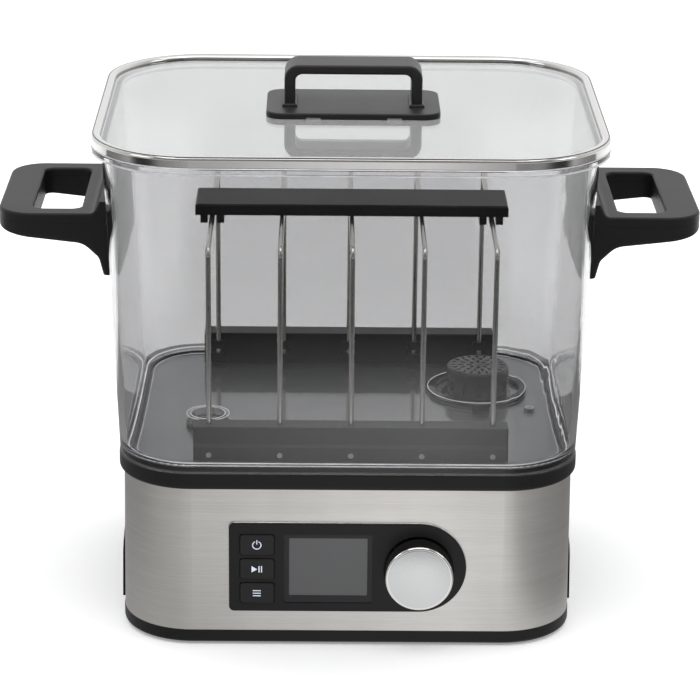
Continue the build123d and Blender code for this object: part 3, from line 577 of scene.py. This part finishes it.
# ---------------------------------------------------------------- operators
class COOKER_OT_stage(bpy.types.Operator):
    """Set the camera, the lamps, the world and the floor"""

    bl_idname = "cooker.stage"
    bl_label = "Stage"

    def execute(self, context):
        settings = context.scene.cooker_stage
        self.add_camera(context, settings)
        self.add_floor(settings)
        self.add_reflection_card(settings)
        self.add_world(context, settings)
        self.add_lamps(settings)
        context.scene.view_settings.view_transform = "Standard"
        return {"FINISHED"}

    def add_camera(self, context, settings):
        right = Vector((math.cos(settings.yaw), -math.sin(settings.yaw), 0.0))
        forward = Vector(
            (
                math.sin(settings.yaw) * math.cos(settings.pitch),
                math.cos(settings.yaw) * math.cos(settings.pitch),
                -math.sin(settings.pitch),
            )
        )
        up = right.cross(forward)
        lean_right = right * math.cos(settings.roll) + up * math.sin(settings.roll)
        lean_up = up * math.cos(settings.roll) - right * math.sin(settings.roll)
        turn = Matrix((lean_right, lean_up, -forward)).transposed().to_4x4()
        data = bpy.data.cameras.new("camera")
        data.lens = settings.lens
        data.sensor_width = 36.0
        data.clip_end = 50.0
        camera = bpy.data.objects.new("camera", data)
        place = Vector((settings.camera_x, settings.camera_y, settings.camera_z))
        camera.matrix_world = Matrix.Translation(place) @ turn
        context.scene.collection.objects.link(camera)
        context.scene.camera = camera

    def add_floor(self, settings):
        finish = Finish("pale_floor")
        cloud = finish.noise(0.8, 3.0, 0.5)
        colour = list(settings.floor_colour)
        tint = finish.mix_colours(cloud, rgba([part * 0.985 for part in colour]), rgba(colour))
        across = finish.node("ShaderNodeSeparateXYZ", {}, {"Vector": finish.place}, output="X")
        along = finish.node("ShaderNodeSeparateXYZ", {}, {"Vector": finish.place}, output="Y")
        side = finish.step(across.maths("ABSOLUTE", across), *BACKDROP_ACROSS)
        behind = finish.step(along, *BACKDROP_ALONG[0]) - finish.step(along, *BACKDROP_ALONG[1])
        level = finish.between(side, BACKDROP_MIDDLE, BACKDROP_SIDE)
        glow = (level - 1.0) * behind + 1.0
        shine = finish.mix_colours(glow * 0.5, (0.0, 0.0, 0.0, 1.0), rgba([part * 2.0 for part in colour]))
        material = finish.done(
            finish.surface(
                Base_Color=tint,
                Roughness=0.6,
                Specular_IOR_Level=0.1,
                Emission_Color=shine,
                Emission_Strength=settings.floor_glow,
            )
        )
        self.add_card("floor", material, (0.0, 0.0, 0.0), FLOOR_SIZE, FLOOR_SIZE)

    def add_card(self, name, material, place, width, depth, hidden=False):
        """A flat sheet lying level, which a hidden one shows only in reflections."""
        mesh = bpy.data.meshes.new(name)
        signs = ((-1, -1), (1, -1), (1, 1), (-1, 1))
        corners = [(side * width / 2, end * depth / 2, 0) for side, end in signs]
        mesh.from_pydata(corners, [], [(0, 1, 2, 3)])
        mesh.materials.append(material)
        card = bpy.data.objects.new(name, mesh)
        card.location = place
        card.visible_camera = not hidden
        card.visible_shadow = not hidden
        card.visible_diffuse = not hidden
        bpy.context.scene.collection.objects.link(card)

    def add_reflection_card(self, settings):
        """A glowing sheet on the floor, seen only in reflections and through clear pieces."""
        finish = Finish("reflection_card")
        across = finish.node("ShaderNodeSeparateXYZ", {}, {"Vector": finish.place}, output="X")
        along = finish.node("ShaderNodeSeparateXYZ", {}, {"Vector": finish.place}, output="Y")
        half = settings.card_width / 2
        side_stops = [(0.5 + x / settings.card_width, (level,) * 3) for x, level in CARD_ACROSS]
        sideways = (across + half) / settings.card_width
        side = finish.node("ShaderNodeValToRGB", {"stops": side_stops}, {"Fac": sideways})
        depth_stops = [(y / settings.card_depth, (level,) * 3) for y, level in CARD_ALONG]
        ahead = (along * -1.0 + settings.card_depth / 2) / settings.card_depth
        near = finish.node("ShaderNodeValToRGB", {"stops": depth_stops}, {"Fac": ahead})
        glow = finish.node("ShaderNodeVectorMath", {"operation": "MULTIPLY"}, {0: side, 1: near})
        material = finish.done(
            finish.surface(
                Base_Color=(0.0, 0.0, 0.0, 1.0),
                Specular_IOR_Level=0.0,
                Emission_Color=glow,
                Emission_Strength=1.0,
            )
        )
        centre = settings.card_front - settings.card_depth / 2
        self.add_card(
            "reflection_card",
            material,
            (0.0, centre, CARD_LIFT),
            settings.card_width,
            settings.card_depth,
            hidden=True,
        )

    def add_world(self, context, settings):
        """Soft surroundings: bright behind the cooker, dimmer in front of it."""
        world = bpy.data.worlds.new("studio")
        finish = Finish("studio", world)
        direction = finish.node("ShaderNodeTexCoord", output="Generated")
        depth = finish.node("ShaderNodeSeparateXYZ", {}, {0: direction}, output="Y")
        front, back = WORLD_SPREAD
        spread = {
            "Value": depth,
            "From Min": front,
            "From Max": back,
            "To Min": settings.front_light,
            "To Max": settings.back_light,
        }
        strength = finish.node("ShaderNodeMapRange", {}, spread)
        light = finish.node("ShaderNodeBackground", {}, {"Color": WORLD_COLOUR, "Strength": strength})
        finish.node("ShaderNodeOutputWorld", {}, {"Surface": light})
        context.scene.world = world

    def add_lamps(self, settings):
        lamps = (
            ("top_softbox", (0.0, -0.25, 1.8), (0.0, 0.0, 0.1), 1.6, settings.top_lamp),
            ("left_softbox", (-1.6, -0.9, 1.2), (0.0, 0.0, 0.12), 0.8, settings.side_lamp),
            ("right_softbox", (1.7, -0.7, 1.3), (0.0, 0.0, 0.12), 0.8, settings.side_lamp),
        )
        for name, place, aim, size, power in lamps:
            data = bpy.data.lights.new(name, "AREA")
            data.size = size
            data.energy = power
            lamp = bpy.data.objects.new(name, data)
            direction = Vector(aim) - Vector(place)
            turn = direction.to_track_quat("-Z", "Y").to_matrix().to_4x4()
            lamp.matrix_world = Matrix.Translation(place) @ turn
            bpy.context.scene.collection.objects.link(lamp)


class COOKER_OT_base(bpy.types.Operator):
    """Finish the base: steel wrap, black trims, feet and inlet"""

    bl_idname = "cooker.base"
    bl_label = "Base"

    def execute(self, context):
        palette = colours()
        black = moulded_plastic("black_plastic", palette.plastic, 0.40)
        steel = brushed_steel("brushed_steel", palette.steel, 0.30)
        deck = brushed_steel("deck_steel", palette.deck, 0.34, 1800.0, 0.25, 0.7)
        dress(black, "base_tray", "rear_cover", "collar_ring", "power_inlet", "motor_bracket")
        dress(steel, "steel_shell")
        dress(deck, "deck_plate")
        rubber = soft_rubber("rubber_black", (0.012, 0.012, 0.012))
        dress(rubber, "rubber_feet", "sensor_grommet", "lid_washers")
        return {"FINISHED"}


class COOKER_OT_works(bpy.types.Operator):
    """Finish the pieces inside the base"""

    bl_idname = "cooker.works"
    bl_label = "Works"

    def execute(self, context):
        steel = brushed_steel("heater_steel", (0.56, 0.55, 0.54), 0.33, 1500.0)
        dress(steel, "flow_heater", "pump_motor")
        dress(circuit_board_finish("circuit_board"), "power_board", "control_board")
        dress(soft_rubber("silicone", (0.72, 0.71, 0.68)), "feed_hose", "return_hose")
        grey = moulded_plastic("grey_plastic", (0.18, 0.18, 0.185), 0.45)
        dress(grey, "button_switches", "knob_encoder")
        black = bpy.data.materials["black_plastic"]
        dress(black, "pump_housing", "impeller")
        return {"FINISHED"}


class COOKER_OT_controls(bpy.types.Operator):
    """Finish the control panel: keys with symbols, display and dial"""

    bl_idname = "cooker.controls"
    bl_label = "Controls"

    def execute(self, context):
        palette = colours()
        dress(moulded_plastic("panel_plastic", palette.panel, 0.36, 1700.0, 0.18), "control_panel")
        keys = moulded_plastic("key_plastic", palette.keys, 0.34, 1900.0, 0.15)
        dress(keys, "power_button", "play_button", "menu_button")
        dress(screen_finish("display_glass", palette.screen), "display_window", "display_module")
        dress(polished_metal("knob_chrome", palette.bright, 0.10), "knob_body")
        self.add_display_bezel()
        self.add_cut_edge()
        self.add_symbols(palette)
        middle = centre_of("knob_cap")
        dress(dial_face("knob_face", (0.66, 0.665, 0.67), (middle.x, 0.0, middle.z)), "knob_cap")
        return {"FINISHED"}

    def add_display_bezel(self):
        """Dark frame round the lit area of the display."""
        low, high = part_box("display_window")
        left, right, top, bottom = BEZEL_MARGIN
        gap = 0.1 * MM
        outer = rounded_outline((low.x + gap, low.z + gap), (high.x - gap, high.z - gap), 1.2 * MM)
        inner = rounded_outline((low.x + left, low.z + bottom), (high.x - right, high.z - top), 0.7 * MM)
        bezel = moulded_plastic("bezel_black", (0.016, 0.016, 0.018), 0.16, 2400.0, 0.03)

        def fill(work):
            front_ring(work, outer, inner, low.y - 0.25 * MM, low.y + 0.05 * MM)

        mesh_piece("display_bezel", fill, bezel, "base")

    def add_cut_edge(self):
        """Bright cut edge of the steel round the fascia."""
        low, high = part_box("control_panel")
        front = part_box("steel_shell")[0].y
        outline = panel_outline((low.x, low.z), (high.x, high.z), 4.0 * MM)
        points = [(x, front + 0.12 * MM, z) for x, z in outline]
        edge = polished_metal("cut_edge_steel", (0.9, 0.88, 0.85), 0.25)
        tube_along("panel_cut_edge", points, 0.28 * MM, edge, "base")

    def add_symbols(self, palette):
        """Printed symbols: a ring with a bar, an arrowhead with two bars, and three level bars."""
        ink = printed_ink_with_glow("symbol_ink_and_painted_glow", palette.ink)
        symbols = {
            "power_button": self.power_symbol,
            "play_button": self.play_symbol,
            "menu_button": self.menu_symbol,
        }
        for key, draw in symbols.items():
            low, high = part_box(key)
            centre = ((low.x + high.x) / 2 - 0.1 * MM, (low.z + high.z) / 2)
            face = low.y

            def fill(work, draw=draw, centre=centre, face=face):
                for outline in draw(centre):
                    front_polygon(work, outline, face - 0.04 * MM, face + 0.1 * MM)

            mesh_piece(f"{key}_symbol", fill, ink, key)

    @staticmethod
    def bar(x0, x1, z0, z1):
        return [(x0, z0), (x1, z0), (x1, z1), (x0, z1)]

    def power_symbol(self, centre):
        x, z = centre
        outer, inner = 2.55 * MM, 2.05 * MM
        strokes = [self.bar(x - 0.25 * MM, x + 0.25 * MM, z + 0.4 * MM, z + 3.0 * MM)]
        steps = 20
        for step in range(steps):
            start = 115 + 310 * step / steps
            end = 115 + 310 * (step + 1) / steps
            strokes.append(
                arc_points((x, z), outer, start, end, 1) + arc_points((x, z), inner, end, start, 1)
            )
        return strokes

    def play_symbol(self, centre):
        x, z = centre
        arrow = [(x - 2.9 * MM, z - 1.9 * MM), (x + 0.2 * MM, z), (x - 2.9 * MM, z + 1.9 * MM)]
        starts = (x + 0.9 * MM, x + 2.3 * MM)
        bars = [self.bar(start, start + 0.6 * MM, z - 1.9 * MM, z + 1.9 * MM) for start in starts]
        return [arrow, *bars]

    def menu_symbol(self, centre):
        x, z = centre
        half_height = 0.28 * MM
        left, right = x - 2.2 * MM, x + 2.2 * MM
        rows = (z - 1.5 * MM, z, z + 1.5 * MM)
        return [self.bar(left, right, row - half_height, row + half_height) for row in rows]


class COOKER_OT_tank(bpy.types.Operator):
    """Finish the clear tank, its fittings and the side handles"""

    bl_idname = "cooker.tank"
    bl_label = "Tank"

    def execute(self, context):
        palette = colours()
        clear = clear_material("clear_plastic", palette.tank, 0.02, 1.49, 0.5)
        dress(clear, "tank_shell", "sump_ring", "outlet_nozzle")
        self.add_foot_foil()
        self.add_painted_highlights()
        grips = moulded_plastic("handle_plastic", [part * 1.6 for part in palette.plastic], 0.40, gloss=0.16)
        for side in ("left", "right"):
            dress(grips, f"{side}_handle_upper", f"{side}_handle_lower")
            dress(polished_metal("screw_steel", (0.7, 0.7, 0.69), 0.2), f"{side}_handle_screws")
        dress(moulded_plastic("strainer_plastic", (0.040, 0.040, 0.041), 0.26, gloss=0.5), "strainer")
        dress(polished_metal("probe_steel", (0.6, 0.6, 0.6), 0.2), "temperature_sensor")
        return {"FINISHED"}

    def add_foot_foil(self):
        """Bright backing under the clear foot, which lights the band above the collar."""
        low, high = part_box("collar_ring")
        half_width = (high.x - low.x) / 2
        half_depth = (high.y - low.y) / 2
        level = high.z + 0.06 * MM
        outer, inner = 1.0 * MM, 6.4 * MM
        foil = polished_metal("foot_foil", (0.62, 0.62, 0.64), 0.18)

        def fill(work):
            loops = []
            top = level + 0.1 * MM
            for gap, height in ((outer, level), (inner, level), (inner, top), (outer, top)):
                low_corner = (gap - half_width, gap - half_depth)
                high_corner = (half_width - gap, half_depth - gap)
                outline = rounded_outline(low_corner, high_corner, FOOT_CORNER - gap, 12)
                loops.append([work.verts.new((x, y, height)) for x, y in outline])
            for first, second in zip(loops, loops[1:] + loops[:1]):
                for index, vertex in enumerate(first):
                    after = (index + 1) % len(first)
                    work.faces.new((vertex, first[after], second[after], second[index]))

        mesh_piece("tank_foot_foil", fill, foil, "base")

    def add_painted_highlights(self):
        """Glowing beads that paint highlights on the edges of the clear pieces."""
        # Painted highlights: these glowing beads stand in for light on the edges of the clear flange, sump
        # ring and nozzle.
        edge = painted_highlight("clear_edge_highlight", (0.80, 0.80, 0.84), 0.75)
        low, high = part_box("tank_shell")
        half_width = (high.x - low.x) / 2
        half_depth = (high.y - low.y) / 2
        inset = 0.45 * MM
        heights = {"flange_highlight_top": high.z - 0.4 * MM, "flange_highlight_bottom": high.z - 3.7 * MM}
        for name, height in heights.items():
            plan_bead(
                name,
                half_width - inset,
                half_depth - inset,
                RIM_CORNER,
                height,
                0.3 * MM,
                edge,
                "base",
            )
        ring_low, ring_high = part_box("sump_ring")
        ring_radius = (ring_high.x - ring_low.x) / 2
        centre = ((ring_low.x + ring_high.x) / 2, ring_high.y - ring_radius)
        round_bead(
            "sump_ring_highlight",
            centre,
            ring_radius - 0.3 * MM,
            ring_high.z,
            0.28 * MM,
            edge,
            "base",
        )
        cup_low, cup_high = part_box("outlet_nozzle")
        cup = ((cup_low.x + cup_high.x) / 2, (cup_low.y + cup_high.y) / 2)
        cup_radius = (cup_high.x - cup_low.x) / 2
        for name, inset in (("nozzle_highlight_outer", 0.4 * MM), ("nozzle_highlight_inner", 2.6 * MM)):
            round_bead(name, cup, cup_radius - inset, cup_high.z, 0.25 * MM, edge, "base")
        self.add_floor_lines(edge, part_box("front_rail")[0].z - RAIL_GAP)

    def add_floor_lines(self, edge, level):
        """Painted highlight and painted shade lines where the tank's floor turns up into its walls, with a
        painted highlight on the moulded floor line.
        """
        floor_half_width, floor_half_depth, floor_corner = FLOOR_LINE
        shade = polished_metal("fillet_shade", (0.05, 0.05, 0.055), 0.2)
        light = painted_highlight("fillet_glow", (0.90, 0.90, 0.93), 0.85)
        # fillet_shade is a dark bead standing in for shade at the fillet; fillet_light glows as a painted
        # highlight.
        for name, out, lift, radius, material in (
            ("fillet_shade", 2.1 * MM, 0.75 * MM, 0.6 * MM, shade),
            ("fillet_light", 4.8 * MM, 2.7 * MM, 0.45 * MM, light),
        ):
            plan_bead(
                name,
                floor_half_width + out,
                floor_half_depth + out,
                floor_corner + out,
                level + lift,
                radius,
                material,
                "base",
            )
        # The moulded floor line is drawn as a glowing bead: a painted highlight.
        plan_bead(
            "floor_line_highlight", floor_half_width, floor_half_depth, floor_corner, level + 0.1 * MM, 0.22 * MM, edge,
            "base",
        )


class COOKER_OT_lid(bpy.types.Operator):
    """Finish the glass lid, its steel rim and its grip"""

    bl_idname = "cooker.lid"
    bl_label = "Lid"

    def execute(self, context):
        palette = colours()
        rim = polished_metal("rim_steel", [part * 0.80 for part in palette.bright], 0.11)
        dress(rim, "lid_rim", "lid_screws")
        low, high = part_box("lid_rim")
        half_width = (high.x - low.x) / 2
        half_depth = (high.y - low.y) / 2
        seal = soft_rubber("lid_seal", (0.02, 0.02, 0.02))
        plan_bead(
            "lid_seal",
            half_width - 0.5 * MM,
            half_depth - 0.5 * MM,
            RIM_CORNER,
            low.z - 0.05 * MM,
            0.22 * MM,
            seal,
            "lid",
        )
        # A dark bead near the rim's top outer edge: a painted dark reflection band on the polished rim.
        dark_reflection = polished_metal("rim_dark_reflection", (0.10, 0.095, 0.09), 0.2)
        plan_bead(
            "rim_dark_reflection",
            half_width - 0.9 * MM,
            half_depth - 0.9 * MM,
            RIM_CORNER,
            high.z - 0.42 * MM,
            0.45 * MM,
            dark_reflection,
            "lid",
        )
        dress(clear_material("lid_glass", palette.glass, 0.01, 1.5, 0.5), "lid_glass")
        grip = moulded_plastic("grip_plastic", [part * 3.2 for part in palette.plastic], 0.40, gloss=0.24)
        dress(grip, "lid_plate", "lid_handle")
        self.add_plate_clips()
        return {"FINISHED"}


    def add_plate_clips(self):
        """Two pale clips under the front edge of the grip's plate."""
        low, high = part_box("lid_plate")
        pale = moulded_plastic("clip_grey", (0.28, 0.28, 0.275), 0.5)
        middle = (low.x + high.x) / 2

        def fill(work):
            for shift in (-22.0 * MM, 22.5 * MM):
                corners = (middle + shift - 4.0 * MM, low.z), (middle + shift + 4.0 * MM, low.z + 1.0 * MM)
                outline = rounded_outline(*corners, 0.3 * MM, 4)
                front_polygon(work, outline, low.y - 0.06 * MM, low.y + 0.5 * MM)

        mesh_piece("lid_plate_clips", fill, pale, "lid")


class COOKER_OT_rack(bpy.types.Operator):
    """Finish the bag rack: rails, wires and the clip-on bar"""

    bl_idname = "cooker.rack"
    bl_label = "Rack"

    def execute(self, context):
        palette = colours()
        wire = polished_metal("rack_wire", (0.80, 0.785, 0.75), 0.16)
        dress(wire, *(name for name in NODES if name.startswith("wire_divider")))
        dress(polished_metal("rivet_steel", (0.92, 0.91, 0.89), 0.3), "rail_rivets")
        rails = moulded_plastic("rail_plastic", (0.020, 0.0205, 0.022), 0.34, 1500.0, 0.2)
        dress(rails, "front_rail")
        dress(moulded_plastic("bar_plastic", palette.plastic, 0.30, 1500.0, 0.15), "rear_rail", "top_bar")
        return {"FINISHED"}


class COOKER_PT_panel(bpy.types.Panel):
    """Lists the cooker's operators and settings"""

    bl_idname = "COOKER_PT_panel"
    bl_label = "Cooker"
    bl_space_type = "VIEW_3D"
    bl_region_type = "UI"
    bl_category = "Cooker"

    def draw(self, context):
        layout = self.layout
        for operator in OPERATORS:
            layout.operator(operator.bl_idname)
        for group in (context.scene.cooker_stage, context.scene.cooker_colours):
            for key in group.__annotations__:
                layout.prop(group, key)


OPERATORS = (
    COOKER_OT_stage,
    COOKER_OT_base,
    COOKER_OT_works,
    COOKER_OT_controls,
    COOKER_OT_tank,
    COOKER_OT_lid,
    COOKER_OT_rack,
)
CLASSES = (CookerStage, CookerColours, *OPERATORS, COOKER_PT_panel)


def register():
    for item in CLASSES:
        bpy.utils.register_class(item)
    bpy.types.Scene.cooker_stage = PointerProperty(type=CookerStage)
    bpy.types.Scene.cooker_colours = PointerProperty(type=CookerColours)


def unregister():
    del bpy.types.Scene.cooker_colours
    del bpy.types.Scene.cooker_stage
    for item in reversed(CLASSES):
        bpy.utils.unregister_class(item)


def main():
    register()
    bpy.ops.cooker.stage()
    bpy.ops.cooker.base()
    bpy.ops.cooker.works()
    bpy.ops.cooker.controls()
    bpy.ops.cooker.tank()
    bpy.ops.cooker.lid()
    bpy.ops.cooker.rack()


if __name__ == "__main__":
    main()
